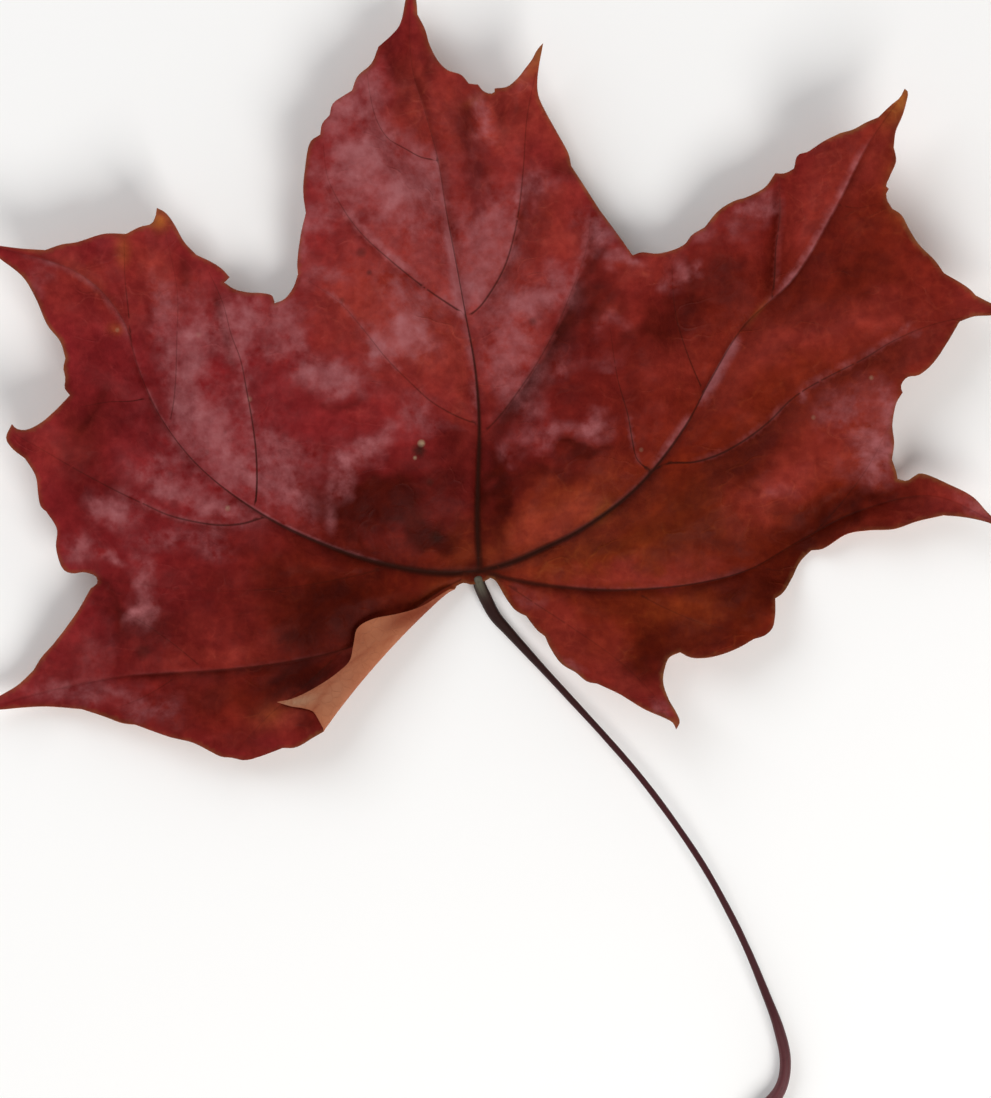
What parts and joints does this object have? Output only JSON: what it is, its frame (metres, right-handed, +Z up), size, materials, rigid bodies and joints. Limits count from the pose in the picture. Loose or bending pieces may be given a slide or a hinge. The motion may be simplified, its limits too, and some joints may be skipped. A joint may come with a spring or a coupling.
{
  "type": "maple leaf",
  "caption": "Dried autumn maple leaf lying upper face up: a lobed, toothed blade with a basal tooth rolled over, and a long bent stem with a swollen foot.",
  "frame": {"origin": "middle of the flat foot under the hub where the ribs meet, on the surface that the leaf lies on", "axes": "+Z up from the surface, out of the leaf's upper face; +Y from the stem towards the tip of the middle lobe; +X across the leaf"},
  "size_m": [0.1666, 0.1844, 0.0163],
  "materials": {
    "blade": "satin",
    "stem": "satin"
  },
  "bodies": {
    "root": {"blade": "blade", "stem": "stem"}
  },
  "joints": []
}
